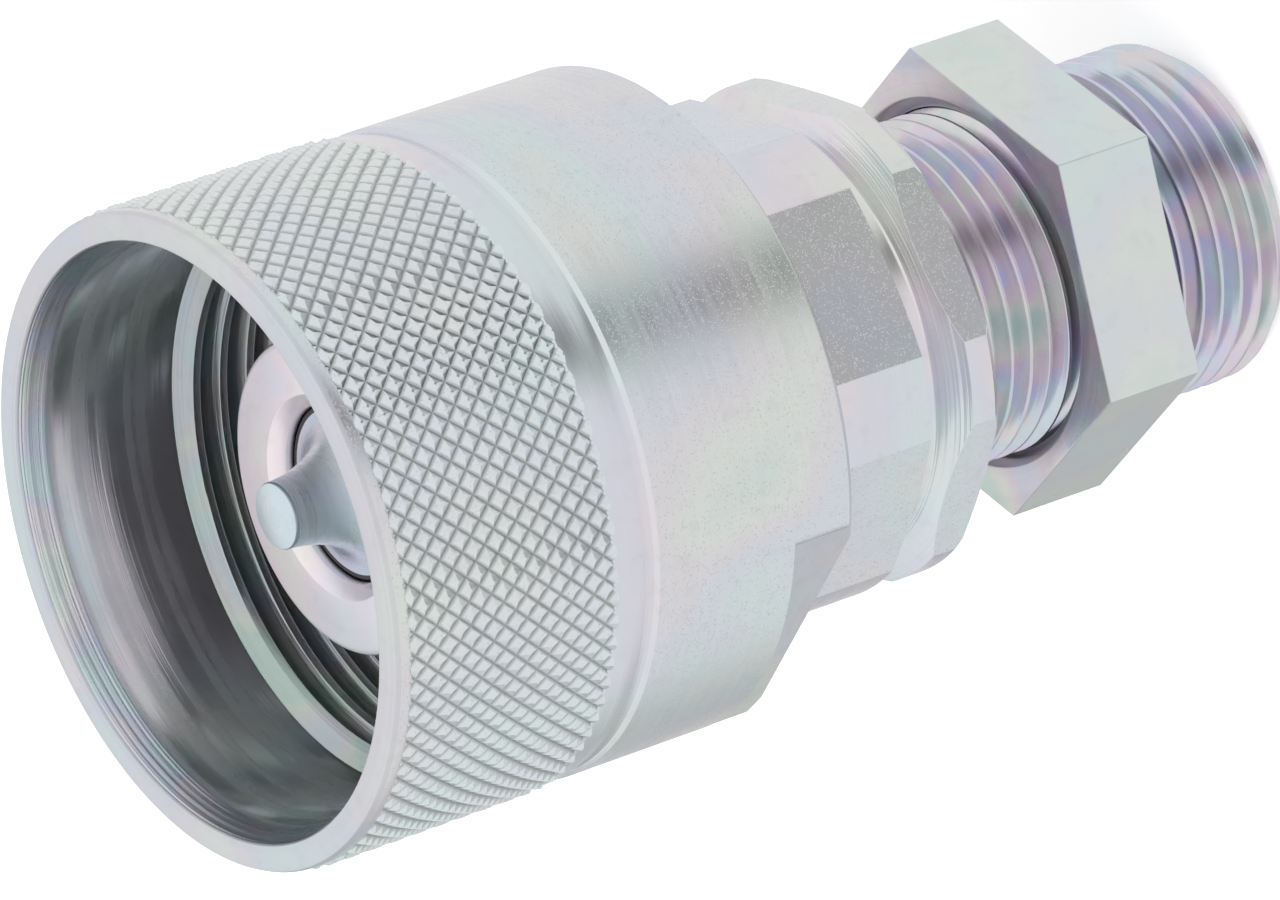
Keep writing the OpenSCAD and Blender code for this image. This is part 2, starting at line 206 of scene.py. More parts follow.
def join(parts: Iterable[bmesh.types.BMesh]) -> bmesh.types.BMesh:
    """Puts several meshes into one and frees them."""
    whole = bmesh.new()
    for part in parts:
        mesh = bpy.data.meshes.new("part")
        part.to_mesh(mesh)
        part.free()
        whole.from_mesh(mesh)
        bpy.data.meshes.remove(mesh)
    return whole


def turn_by(bm: bmesh.types.BMesh, degrees: float) -> None:
    """Turns a mesh about the axis."""
    bmesh.ops.rotate(
        bm, verts=bm.verts[:], cent=CENTRE, matrix=Matrix.Rotation(math.radians(degrees), 3, "Z")
    )


# ------------------------------------------------------------- the finishes


class Slot(Enum):
    """The record's finishes that a new piece can take."""

    PLATED = "plated_steel"
    NUT = "nut_steel"
    NOSE = "nose_steel"
    POPPET = "poppet_steel"
    SPRING = "spring_steel"


class NodeMaker:
    """Short ways to add nodes and links to one node tree."""

    def __init__(self, tree: bpy.types.NodeTree) -> None:
        """Keeps the tree."""
        self.tree = tree

    def add(self, kind: str, **settings: object) -> bpy.types.Node:
        """Adds a node and sets its properties."""
        node = self.tree.nodes.new(kind)
        for name, value in settings.items():
            setattr(node, name, value)
        return node

    def feed(self, socket: bpy.types.NodeSocket, value: object) -> None:
        """Links an output to a socket, or writes a plain value on it."""
        if isinstance(value, bpy.types.NodeSocket):
            self.tree.links.new(value, socket)
        else:
            socket.default_value = value

    def sum(self, kind: str, *values: object, clamp: bool = False) -> bpy.types.NodeSocket:
        """A Math node and its result.

        Args:
            kind: The operation's name.
            values: Outputs or numbers.
            clamp: Whether the result is held between 0 and 1.

        Returns:
            The node's output.
        """
        node = self.add("ShaderNodeMath", operation=kind, use_clamp=clamp)
        for socket, value in zip(node.inputs, values):
            self.feed(socket, value)
        return node.outputs[0]

    def blend(self, share: object, a: object, b: object, how: str = "MIX") -> bpy.types.NodeSocket:
        """A colour mix and its result.

        Args:
            share: How much of b shows.
            a: The first colour.
            b: The second colour.
            how: The blend type.

        Returns:
            The mixed colour.
        """
        node = self.add("ShaderNodeMix", data_type="RGBA", blend_type=how)
        self.feed(node.inputs["Factor"], share)
        self.feed(node.inputs[6], a)
        self.feed(node.inputs[7], b)
        return node.outputs[2]

    def noise(self, vector: object, scale: object, detail: float = 3.0) -> bpy.types.NodeSocket:
        """A noise texture's value."""
        node = self.add("ShaderNodeTexNoise")
        self.feed(node.inputs["Vector"], vector)
        self.feed(node.inputs["Scale"], scale)
        node.inputs["Detail"].default_value = detail
        return node.outputs["Fac"]

    def stretch(self, value: object, low: float, high: float) -> bpy.types.NodeSocket:
        """Stretches a value so that low becomes 0 and high becomes 1, smoothly."""
        node = self.add("ShaderNodeMapRange", interpolation_type="SMOOTHSTEP")
        self.feed(node.inputs["Value"], value)
        node.inputs["From Min"].default_value = low
        node.inputs["From Max"].default_value = high
        return node.outputs["Result"]


def new_material(
    name: str,
) -> tuple[bpy.types.Material, NodeMaker, bpy.types.Node]:
    """Starts a material.

    Args:
        name: The material's name.

    Returns:
        The material, its node maker and its shader.
    """
    material = bpy.data.materials.new(name)
    material.use_nodes = True
    tree = material.node_tree
    return material, NodeMaker(tree), tree.nodes["Principled BSDF"]


def new_group(
    name: str, inputs: dict[str, tuple[str, float]], outputs: dict[str, str]
) -> tuple[bpy.types.NodeTree, NodeMaker, bpy.types.Node, bpy.types.Node]:
    """Starts a shader node group.

    Args:
        name: The group's name.
        inputs: Socket kind and default by input name.
        outputs: Socket kind by output name.

    Returns:
        The tree, its node maker, and the group's input and output nodes.
    """
    tree = bpy.data.node_groups.new(name, "ShaderNodeTree")
    for title, (kind, default) in inputs.items():
        socket = tree.interface.new_socket(title, in_out="INPUT", socket_type=kind)
        if kind == "NodeSocketFloat":
            socket.default_value = default
    for title, kind in outputs.items():
        tree.interface.new_socket(title, in_out="OUTPUT", socket_type=kind)
    maker = NodeMaker(tree)
    return tree, maker, maker.add("NodeGroupInput"), maker.add("NodeGroupOutput")


class ShopEffects:
    """The effects that several finishes share, each built once as a node group."""

    def __init__(self) -> None:
        """Builds the groups."""
        self.passivation = self.make_passivation()
        self.tool_marks = self.make_tool_marks()
        self.crystal = self.make_crystal()

    def make_passivation(self) -> bpy.types.NodeTree:
        """The pastel interference tints of passivated zinc.

        Returns:
            A group that turns a position into a tinted colour.
        """
        tree, make, given, result = new_group(
            "passivation_tints",
            {"Vector": ("NodeSocketVector", 0.0), "Scale": ("NodeSocketFloat", 60.0),
             "Strength": ("NodeSocketFloat", 0.5), "Metal": ("NodeSocketColor", 0.0)},
            {"Colour": "NodeSocketColor"},
        )
        wide = make.noise(given.outputs["Vector"], given.outputs["Scale"], 2.0)
        ramp = make.add("ShaderNodeValToRGB")
        ramp.color_ramp.interpolation = "EASE"
        tints = [
            (0.30, (0.80, 0.93, 0.86, 1.0)), (0.40, (0.97, 0.97, 0.90, 1.0)),
            (0.47, (0.98, 0.88, 0.93, 1.0)), (0.54, (0.88, 0.88, 1.0, 1.0)),
            (0.61, (0.84, 0.96, 0.97, 1.0)), (0.72, (0.97, 0.93, 0.88, 1.0)),
        ]
        stops = ramp.color_ramp.elements
        while len(stops) < len(tints):
            stops.new(0.5)
        for stop, (place, colour) in zip(stops, tints):
            stop.position, stop.color = place, colour
        make.feed(ramp.inputs["Fac"], wide)
        tinted = make.blend(1.0, given.outputs["Metal"], ramp.outputs["Color"], "MULTIPLY")
        mixed = make.blend(given.outputs["Strength"], given.outputs["Metal"], tinted)
        make.feed(result.inputs["Colour"], mixed)
        return tree

    def make_tool_marks(self) -> bpy.types.NodeTree:
        """The fine rings that a lathe tool leaves round the axis.

        Returns:
            A group that turns a position into a height and a mask.
        """
        tree, make, given, result = new_group(
            "tool_marks",
            {"Vector": ("NodeSocketVector", 0.0), "Scale": ("NodeSocketFloat", 6000.0)},
            {"Height": "NodeSocketFloat", "Mask": "NodeSocketFloat", "Radius": "NodeSocketFloat"},
        )
        split = make.add("ShaderNodeSeparateXYZ")
        make.feed(split.inputs[0], given.outputs["Vector"])
        x2 = make.sum("MULTIPLY", split.outputs["X"], split.outputs["X"])
        y2 = make.sum("MULTIPLY", split.outputs["Y"], split.outputs["Y"])
        radius = make.sum("SQRT", make.sum("ADD", x2, y2))
        angle = make.sum("ARCTAN2", split.outputs["Y"], split.outputs["X"])
        ring = make.add("ShaderNodeCombineXYZ")
        make.feed(ring.inputs["X"], radius)
        make.feed(ring.inputs["Y"], split.outputs["Z"])
        make.feed(ring.inputs["Z"], make.sum("MULTIPLY", angle, 0.00008))
        fine = make.noise(ring.outputs[0], given.outputs["Scale"], 3.0)
        wider = make.sum("MULTIPLY", given.outputs["Scale"], 0.22)
        coarse = make.noise(ring.outputs[0], wider, 1.0)
        make.feed(result.inputs["Height"], make.sum("ADD", fine, coarse))
        make.feed(result.inputs["Mask"], make.stretch(coarse, 0.35, 0.65))
        make.feed(result.inputs["Radius"], radius)
        return tree

    def make_crystal(self) -> bpy.types.NodeTree:
        """The grain of the deposit, whose facets glint one by one.

        Returns:
            A group that turns a position into a height and a mask.
        """
        tree, make, given, result = new_group(
            "zinc_crystals",
            {"Vector": ("NodeSocketVector", 0.0), "Scale": ("NodeSocketFloat", 5000.0)},
            {"Height": "NodeSocketFloat", "Mask": "NodeSocketFloat"},
        )
        cells = make.add("ShaderNodeTexVoronoi", feature="F1")
        make.feed(cells.inputs["Vector"], given.outputs["Vector"])
        make.feed(cells.inputs["Scale"], given.outputs["Scale"])
        chance = make.add("ShaderNodeSeparateColor")
        make.feed(chance.inputs[0], cells.outputs["Color"])
        picked = make.stretch(chance.outputs[0], 0.55, 1.0)
        round_top = make.stretch(cells.outputs["Distance"], 0.45, 0.0)
        dome = make.sum("MULTIPLY", round_top, picked)
        make.feed(result.inputs["Height"], dome)
        make.feed(result.inputs["Mask"], picked)
        return tree


@dataclass(frozen=True)
class MetalFinish:
    """A plated or bare metal surface.

    The marks and crystal depths are in millimetres.
    """

    name: str
    colour: Colour
    roughness: float
    tint: float = 0.5
    tint_scale: float = 60.0
    marks: float = 0.0
    marks_scale: float = 6000.0
    crystals: float = 0.0
    crystal_scale: float = 9000.0
    dull: float = 0.1
    dirt: float = 0.06
    # root and tip: radii in millimetres over which the colour darkens towards root, painted shade
    # in the knurl's grooves
    root: float = 0.0
    tip: float = 0.0

    def material(self, shop: ShopEffects) -> bpy.types.Material:
        """Builds the material.

        Args:
            shop: The shared effects.

        Returns:
            The material, reading object coordinates.
        """
        found = bpy.data.materials.get(self.name)
        if found:
            return found
        material, make, shader = new_material(self.name)
        place = make.add("ShaderNodeTexCoord").outputs["Object"]

        tints = make.add("ShaderNodeGroup", node_tree=shop.passivation)
        make.feed(tints.inputs["Vector"], place)
        tints.inputs["Scale"].default_value = self.tint_scale
        tints.inputs["Strength"].default_value = self.tint
        tints.inputs["Metal"].default_value = self.colour
        cloud = make.noise(place, 240.0, 5.0)
        grime = make.stretch(make.noise(place, 900.0, 4.0), 0.52, 0.75)
        shade = tuple(c * 0.72 for c in self.colour[:3]) + (1.0,)
        grime_and_groove_shade = make.blend(
            make.sum("MULTIPLY", grime, self.dirt * 3), tints.outputs["Colour"], shade
        )
        # Painted shade: from the tip radius down to the root radius the colour darkens, shade
        # painted into the knurl's grooves
        if self.tip:
            depth = make.add("ShaderNodeGroup", node_tree=shop.tool_marks)
            make.feed(depth.inputs["Vector"], place)
            height = make.stretch(depth.outputs["Radius"], self.root * MM, self.tip * MM)
            groove_shade = tuple(c * 0.55 for c in self.colour[:3]) + (1.0,)
            grime_and_groove_shade = make.blend(height, groove_shade, grime_and_groove_shade)
        make.feed(shader.inputs["Base Color"], grime_and_groove_shade)

        rough = make.sum("MULTIPLY_ADD", cloud, self.dull, self.roughness - self.dull / 2)
        height: object = 0.0
        if self.marks:
            rings = make.add("ShaderNodeGroup", node_tree=shop.tool_marks)
            make.feed(rings.inputs["Vector"], place)
            rings.inputs["Scale"].default_value = self.marks_scale
            height = make.sum("MULTIPLY_ADD", rings.outputs["Height"], self.marks, height)
            rough = make.sum("MULTIPLY_ADD", rings.outputs["Mask"], self.dull, rough)
        if self.crystals:
            grain = make.add("ShaderNodeGroup", node_tree=shop.crystal)
            make.feed(grain.inputs["Vector"], place)
            grain.inputs["Scale"].default_value = self.crystal_scale
            height = make.sum("MULTIPLY_ADD", grain.outputs["Height"], self.crystals, height)
        make.feed(shader.inputs["Roughness"], rough)
        bump = make.add("ShaderNodeBump")
        bump.inputs["Strength"].default_value = 1.0
        bump.inputs["Distance"].default_value = MM
        make.feed(bump.inputs["Height"], height)
        make.feed(shader.inputs["Normal"], bump.outputs["Normal"])
        shader.inputs["Metallic"].default_value = 1.0
        return material


@dataclass(frozen=True)
class PolymerFinish:
    """A rubber or plastic surface with a fine grain."""

    name: str
    colour: Colour
    roughness: float
    grain: float = 0.01

    def material(self, shop: ShopEffects) -> bpy.types.Material:
        """Builds the material.

        Args:
            shop: The shared effects; not used.

        Returns:
            The material, reading object coordinates.
        """
        found = bpy.data.materials.get(self.name)
        if found:
            return found
        material, make, shader = new_material(self.name)
        place = make.add("ShaderNodeTexCoord").outputs["Object"]
        cloud = make.noise(place, 700.0, 4.0)
        pale = tuple(min(1.0, c * 1.35 + 0.01) for c in self.colour[:3]) + (1.0,)
        make.feed(shader.inputs["Base Color"], make.blend(cloud, self.colour, pale))
        make.feed(
            shader.inputs["Roughness"],
            make.sum("MULTIPLY_ADD", cloud, 0.15, self.roughness - 0.07),
        )
        bump = make.add("ShaderNodeBump")
        bump.inputs["Distance"].default_value = MM
        grain = make.noise(place, 9000.0, 2.0)
        make.feed(bump.inputs["Height"], make.sum("MULTIPLY", grain, self.grain))
        make.feed(shader.inputs["Normal"], bump.outputs["Normal"])
        return material


SMOOTH_ZINC = MetalFinish(
    "zinc_satin", (0.74, 0.77, 0.77, 1.0), 0.27, tint=0.6, crystals=0.040, marks=0.002,
    marks_scale=9000.0,
)
# Its root and tip paint shade into the knurl's grooves, darker towards the root
KNURL_ZINC = MetalFinish(
    "zinc_knurl", (0.76, 0.81, 0.81, 1.0), 0.17, tint=0.4, crystals=0.03, root=20.37, tip=20.52
)
TURNED_ZINC = MetalFinish(
    "zinc_turned", (0.76, 0.77, 0.78, 1.0), 0.19, tint=0.7, marks=0.03, marks_scale=4200.0
)
BORE_ZINC = MetalFinish(
    "zinc_bore", (0.72, 0.76, 0.75, 1.0), 0.17, tint=0.45, marks=0.012, marks_scale=3600.0,
    dull=0.16,
)
LEAD_ZINC = MetalFinish(
    "zinc_lead_in", (0.74, 0.78, 0.80, 1.0), 0.20, tint=1.0, tint_scale=150.0, marks=0.04,
    marks_scale=3600.0,
)
UNION_ZINC = MetalFinish(
    "zinc_union_thread", (0.50, 0.55, 0.54, 1.0), 0.24, tint=0.8, tint_scale=150.0, marks=0.03,
    marks_scale=4000.0,
)
MOUTH_ZINC = MetalFinish(
    "zinc_mouth", (0.68, 0.71, 0.73, 1.0), 0.38, tint=0.5, marks=0.014, marks_scale=7000.0
)
HEX_ZINC = MetalFinish(
    "zinc_hexagon", (0.73, 0.76, 0.77, 1.0), 0.27, tint=0.5, crystals=0.045
)
THREAD_ZINC = MetalFinish(
    "zinc_thread", (0.70, 0.69, 0.75, 1.0), 0.17, tint=1.0, tint_scale=160.0, marks=0.006,
    marks_scale=6000.0,
)
NUT_ZINC = MetalFinish(
    "zinc_nut", (0.72, 0.77, 0.76, 1.0), 0.32, tint=0.45, tint_scale=90.0, crystals=0.006
)
NUT_FACE_ZINC = MetalFinish(
    "zinc_nut_face", (0.64, 0.65, 0.66, 1.0), 0.26, tint=1.0, tint_scale=120.0, marks=0.02,
    marks_scale=3600.0,
)
NOSE_ZINC = MetalFinish(
    "zinc_nose", (0.92, 0.87, 0.89, 1.0), 0.30, tint=0.6, tint_scale=110.0, marks=0.008,
    marks_scale=7000.0,
)
POPPET_ZINC = MetalFinish(
    "zinc_poppet", (0.68, 0.75, 0.80, 1.0), 0.24, tint=0.4, tint_scale=120.0, marks=0.006,
    marks_scale=8000.0,
)
HIDDEN_STEEL = MetalFinish("ground_steel", (0.66, 0.67, 0.68, 1.0), 0.28, tint=0.25, marks=0.006)
SPRING_STEEL = MetalFinish("spring_wire", (0.42, 0.42, 0.43, 1.0), 0.34, tint=0.1, crystals=0.003)
SEAL_RUBBER = PolymerFinish("nitrile_rubber", (0.018, 0.018, 0.02, 1.0), 0.42)
RING_PLASTIC = PolymerFinish("ptfe_ring", (0.74, 0.72, 0.66, 1.0), 0.38)


def finish_piece(
    bm: bmesh.types.BMesh,
    name: str,
    body: str,
    finishes: list[MetalFinish],
    shop: ShopEffects,
    stands_for: tuple[str, ...] = (),
    sharp: float = 32.0,
    even: bool = True,
    rides: bool = True,
) -> bpy.types.Object:
    """Makes the object of a piece, dresses it and ties it to its body.

    Args:
        bm: The mesh, which is freed.
        name: The piece's name.
        body: The CAD body that it moves with.
        finishes: One finish for each material number of its faces.
        shop: The shared effects.
        stands_for: The CAD nodes that it replaces.
        sharp: Faces that meet at more than this many degrees keep a hard edge.
        even: Whether large faces are shaded flat up to their rounded edges.
        rides: Whether it moves with the body as one rigid piece.

    Returns:
        The object.
    """
    mesh = bpy.data.meshes.new(name)
    for face in bm.faces:
        face.smooth = True
    bm.to_mesh(mesh)
    bm.free()
    mesh.set_sharp_from_angle(angle=math.radians(sharp))
    for finish in finishes:
        mesh.materials.append(finish.material(shop))
    piece = bpy.data.objects.new(name, mesh)
    bpy.context.scene.collection.objects.link(piece)
    if even:
        weigh = piece.modifiers.new("even_faces", "WEIGHTED_NORMAL")
        weigh.keep_sharp, weigh.weight = True, 100
    if rides:
        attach(piece, body)
    if stands_for:
        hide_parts(*stands_for)
    log.info("%s: %d faces on %s", name, len(mesh.polygons), body)
    return piece


def paint(bm: bmesh.types.BMesh, number: Callable[[Vector, Vector], int]) -> None:
    """Gives each face the material number for its middle (in millimetres) and normal."""
    for face in bm.faces:
        face.material_index = number(face.calc_center_median() / MM, face.normal)


# ---------------------------------------------------------- the sub-assemblies


class BlankFace(IntEnum):
    """The finishes of the sleeve's blank, in the order of its material slots."""

    SMOOTH = 0
    TURNED = 1
    BORE = 2
    MOUTH = 3
    LEAD = 4


@dataclass
class UnionSleeve:
    """The screwed sleeve: turned blank, union thread and diamond knurl."""

    shop: ShopEffects
    turn_angle: float = 19.0
    outer: float = 20.5
    rim_bore: float = 15.16
    room: float = 17.4
    room_start: float = 6.6
    room_end: float = 12.5
    mouth: float = 18.15
    crest: float = 16.9
    thread_end: float = 22.3
    pitch: float = 2.0
    flat_distance: float = 18.0
    flat_length: float = 4.7
    line_z: float = 15.3
    line_depth: float = 0.3
    knurl_z: float = 17.9
    lip_length: float = 1.1
    teeth: int = 84
    tooth_depth: float = 0.34
    tooth_rise: float = 0.815
    tooth_tip: float = 0.14
    thread_angle: float = 64.0
    lead_slope: float = 1.05
    facets: int = 240
    base: float = field(init=False)
    top: float = field(init=False)
    tips: float = field(init=False)

    def __post_init__(self) -> None:
        """Takes the sleeve's place from the frame."""
        self.base = low_z("coupling_sleeve")
        self.top = high_z("coupling_sleeve")
        self.tips = reach("coupling_sleeve")

    def build(self) -> None:
        """Builds the three pieces of the sleeve."""
        blank = join([self.rear_ring(), self.front_shell()])
        turn_by(blank, self.turn_angle)
        paint(blank, self.blank_finish)
        finish_piece(
            blank, "sleeve_blank", "sleeve",
            [SMOOTH_ZINC, TURNED_ZINC, BORE_ZINC, MOUTH_ZINC, LEAD_ZINC],
            self.shop, ("coupling_sleeve",),
        )
        finish_piece(
            self.union_thread(), "sleeve_union_thread", "sleeve", [UNION_ZINC],
            self.shop,
        )
        finish_piece(
            self.knurl(), "sleeve_knurl", "sleeve", [KNURL_ZINC], self.shop,
            sharp=12.0, even=False,
        )

    def blank_finish(self, middle: Vector, normal: Vector) -> int:
        """The number of the finish of a face of the blank."""
        r = math.hypot(middle.x, middle.y)
        if middle.z > self.top - 0.5 and r > self.mouth + 0.5:
            return BlankFace.MOUTH
        if r < self.mouth + 0.6 and middle.z > self.top - 2.0:
            return BlankFace.LEAD
        if r < self.mouth + 0.25 and middle.z > self.base + self.room_end:
            return BlankFace.BORE
        if self.base + self.line_z - 0.8 < middle.z < self.base + self.knurl_z + 0.6:
            return BlankFace.TURNED
        return BlankFace.SMOOTH

    def rear_ring(self) -> bmesh.types.BMesh:
        """The rear end of the sleeve with its two wrench flats.

        Returns:
            A closed ring.
        """
        z0, s = self.base, self.outer
        bm = turn([
            (self.rim_bore, z0 + 0.2), (self.rim_bore + 0.2, z0), (s - 0.6, z0),
            (s, z0 + 0.6), (s, z0 + self.flat_length), (self.rim_bore, z0 + self.flat_length),
        ], steps=self.facets)
        for angle in (0.0, 180.0):
            mill_flat(bm, self.flat_distance, angle)
        height = (z0 + self.flat_length) * MM
        break_edges(
            bm, 0.12, keep=lambda e: all(v.co.z < height - 1e-5 for v in e.verts)
        )
        return bm

    def front_shell(self) -> bmesh.types.BMesh:
        """The sleeve from the wrench flats to the mouth, without the knurl.

        Returns:
            A closed shell.
        """
        z0, s, m = self.base, self.outer, self.mouth
        line, knurl, lip = z0 + self.line_z, z0 + self.knurl_z, self.top - self.lip_length
        under = self.tips - self.tooth_depth - 0.1
        return turn([
            (self.rim_bore, z0 + self.flat_length), (s, z0 + self.flat_length),
            (s, line - 0.55), (s - 0.04, line - 0.5), (s - 0.26, line - 0.3),
            (s - self.line_depth, line - 0.15), (s - self.line_depth, line + 0.1),
            (s - 0.24, line + 0.4), (s - 0.14, line + 0.75), (s - 0.05, line + 1.1),
            (s, line + 1.45), (s, knurl - 0.05), (s - 0.05, knurl + 0.12),
            (under, knurl + 0.3), (under, lip - 0.35), (s - 0.05, lip - 0.1), (s, lip + 0.05),
            (s, self.top - 0.42), (s - 0.14, self.top - 0.13), (s - 0.42, self.top),
            (m + 0.8, self.top), (m + 0.62, self.top - 0.08), (m + 0.52, self.top - 0.24),
            (m + 0.08, self.top - 1.8), (m, self.top - 2.1),
            (m, z0 + self.room_end + 0.75), (self.room, z0 + self.room_end),
            (self.room, z0 + self.room_start), (self.rim_bore, z0 + self.room_start),
        ], steps=self.facets)

    def union_thread(self) -> bmesh.types.BMesh:
        """The internal thread that draws the other half in.

        Returns:
            The closed ridge, cut back by the lead cone.
        """
        c, m, p = self.crest, self.mouth + 0.05, self.pitch
        section = [
            (m, -0.49 * p), (m - 0.16, -0.44 * p), (c + 0.05, -0.15 * p), (c, -0.11 * p),
            (c, 0.11 * p), (c + 0.05, 0.15 * p), (m - 0.16, 0.44 * p), (m, 0.49 * p),
        ]
        start = self.base + self.room_end + 1.5
        end = self.base + self.thread_end
        bm = thread_ridge(section, p, start, (end + 1.0 - start) / p, 96)
        hold_radius(bm, lambda r, z: max(r, min(m, c + (z - end) * self.lead_slope)))
        turn_by(bm, self.thread_angle)
        return bm

    def knurl(self) -> bmesh.types.BMesh:
        """The band of pointed teeth between two crossing sets of grooves.

        Returns:
            The band, closed by its buried inner wall.
        """
        low = self.base + self.knurl_z
        high = self.top - self.lip_length
        step = 2 * math.pi / self.teeth
        root = self.tips - self.tooth_depth
        across = root * math.tan(step / 2)
        along = self.tooth_rise
        rows = math.ceil((high - low) / along / 2) + 1
        bm = bmesh.new()
        bmesh.ops.create_cone(
            bm, cap_ends=True, segments=4, radius1=across * MM,
            radius2=across * self.tooth_tip * MM, depth=self.tooth_depth * MM,
        )
        seat = [f for f in bm.faces if f.normal.z < -0.9]
        bmesh.ops.delete(bm, geom=seat, context="FACES_ONLY")
        bmesh.ops.scale(bm, vec=(along / across, 1.0, 1.0), verts=bm.verts[:])
        bmesh.ops.rotate(
            bm, verts=bm.verts[:], cent=CENTRE, matrix=Matrix.Rotation(math.radians(90), 3, "Y")
        )
        bmesh.ops.translate(
            bm, verts=bm.verts[:],
            vec=((root + self.tooth_depth / 2) * MM, 0.0, (low - along) * MM),
        )
        bmesh.ops.spin(
            bm, geom=bm.verts[:] + bm.edges[:] + bm.faces[:], cent=CENTRE, axis=AXIS,
            dvec=NO_LIFT, angle=2 * math.pi * (self.teeth - 1) / self.teeth,
            steps=self.teeth - 1, use_duplicate=True,
        )
        pair = bmesh.ops.duplicate(bm, geom=bm.verts[:] + bm.edges[:] + bm.faces[:])
        moved = [g for g in pair["geom"] if isinstance(g, bmesh.types.BMVert)]
        bmesh.ops.rotate(bm, verts=moved, cent=CENTRE, matrix=Matrix.Rotation(step / 2, 3, "Z"))
        bmesh.ops.translate(bm, verts=moved, vec=(0.0, 0.0, along * MM))
        first = bm.verts[:] + bm.edges[:] + bm.faces[:]
        for row in range(1, rows + 1):
            more = bmesh.ops.duplicate(bm, geom=first)
            moved = [g for g in more["geom"] if isinstance(g, bmesh.types.BMVert)]
            bmesh.ops.translate(bm, verts=moved, vec=(0.0, 0.0, 2 * along * row * MM))
        bmesh.ops.remove_doubles(bm, verts=bm.verts[:], dist=0.02 * MM)
        for height, way in ((low, -1.0), (high, 1.0)):
            bmesh.ops.bisect_plane(
                bm, geom=bm.verts[:] + bm.edges[:] + bm.faces[:], dist=1e-7,
                plane_co=(0.0, 0.0, height * MM), plane_no=(0.0, 0.0, way), clear_outer=True,
            )
        ends = [e for e in bm.edges if e.is_boundary]
        walls = bmesh.ops.extrude_edge_only(bm, edges=ends)
        inner = [g for g in walls["geom"] if isinstance(g, bmesh.types.BMVert)]
        for v in inner:
            v.co.xy = v.co.xy.normalized() * (root - 0.4) * MM
        rims = [
            g for g in walls["geom"]
            if isinstance(g, bmesh.types.BMEdge) and all(v in set(inner) for v in g.verts)
        ]
        bmesh.ops.bridge_loops(bm, edges=rims)
        bmesh.ops.recalc_face_normals(bm, faces=bm.faces[:])
        hold_radius(bm, lambda r, z: min(r, self.tips - 0.002))
        return bm


@dataclass
class HexAdaptor:
    """The hexagon bar: threaded stud, collar, groove and hexagon."""

    shop: ShopEffects
    stud: float = 11.0
    core: float = 10.1
    pitch: float = 1.5
    thread_start: float = 0.75
    thread_angle: float = 150.0
    run_out: float = 1.9
    lead: float = 1.1
    collar_z: float = 26.8
    land_z: float = 27.4
    groove_z: float = 29.1
    groove: float = 13.9
    hex_z: float = 32.3
    corner: float = 16.0
    half_flats: float = 15.0
    tube: float = 7.5
    cone: float = 8.5
    cone_depth: float = 4.7
    tube_depth: float = 7.0
    flow: float = 6.0
    spigot: float = 12.5
    pocket_z: float = 33.3
    top: float = field(init=False)

    def __post_init__(self) -> None:
        """Takes the adaptor's height from the frame."""
        self.top = high_z("hex_adaptor")

    def build(self) -> None:
        """Builds the bar and its thread."""
        bar = self.bar()
        paint(bar, self.bar_finish)
        finish_piece(
            bar, "adaptor_bar", "body", [HEX_ZINC, TURNED_ZINC, THREAD_ZINC],
            self.shop, ("hex_adaptor",),
        )
        finish_piece(
            self.stud_thread(), "adaptor_stud_thread", "body", [THREAD_ZINC],
            self.shop,
        )

    def bar_finish(self, middle: Vector, normal: Vector) -> int:
        """The number of the finish of a face of the bar."""
        r = math.hypot(middle.x, middle.y)
        outward = abs(normal.z) < 0.2
        on_flat = outward and any(
            abs(middle.x * math.cos(a) + middle.y * math.sin(a) - self.half_flats) < 0.02
            for a in (math.radians(angle) for angle in HEXAGON)
        )
        if on_flat:
            return 0
        return 2 if middle.z < self.collar_z - 0.1 and r > self.cone else 1

    def bar(self) -> bmesh.types.BMesh:
        """Hexagon bar, turned outside, bored inside and milled to its six flats.

        Returns:
            A closed shell.
        """
        c, g, s = self.corner, self.groove, self.core
        bm = turn([
            (self.cone, 0.0), (s, 0.0), (s, self.collar_z - 0.5), (s + 0.5, self.collar_z),
            (c - 0.96, self.collar_z), (c - 0.25, self.collar_z + 0.22), (c, self.land_z),
            (c, self.groove_z), (g + 0.15, self.groove_z + 1.25), (g, self.groove_z + 1.55),
            (g, self.hex_z - 0.75), (g + 0.2, self.hex_z - 0.55), (c, self.hex_z),
            (c, self.top - 0.1), (c - 0.1, self.top), (self.spigot, self.top),
            (self.spigot, self.pocket_z), (self.tube + 1.0, self.pocket_z),
            (self.flow, self.pocket_z - 2.5), (self.flow, self.tube_depth),
            (self.tube, self.tube_depth), (self.tube, self.cone_depth),
        ], steps=192)
        for angle in HEXAGON:
            mill_flat(bm, self.half_flats, angle)
        break_edges(
            bm, 0.1, angle=8.0,
            keep=lambda e: all(math.hypot(v.co.x, v.co.y) > 14.6 * MM for v in e.verts)
            and any(abs(f.normal.z) < 0.05 and f.calc_area() > 4e-6 for f in e.link_faces),
        )
        return bm

    def stud_thread(self) -> bmesh.types.BMesh:
        """The fine thread of the stud, with its lead and run-out.

        Returns:
            The closed ridge.
        """
        s, k, p = self.stud, self.core - 0.05, self.pitch
        section = [
            (k, -0.47 * p), (k + 0.12, -0.42 * p), (s - 0.06, -0.105 * p), (s, -0.06 * p),
            (s, 0.06 * p), (s - 0.06, 0.105 * p), (k + 0.12, 0.42 * p), (k, 0.47 * p),
        ]
        start, end = self.thread_start, self.collar_z - self.run_out
        bm = thread_ridge(section, p, start, (end - start) / p, 84)
        hold_radius(bm, lambda r, z: min(
            r, max(k, s - 0.95 + 0.95 * z / self.lead), max(k, s + (end - z) * 0.9)
        ) if z > 0.0 else min(r, k))
        for v in bm.verts:
            v.co.z = max(v.co.z, 0.02 * MM)
        turn_by(bm, self.thread_angle)
        return bm


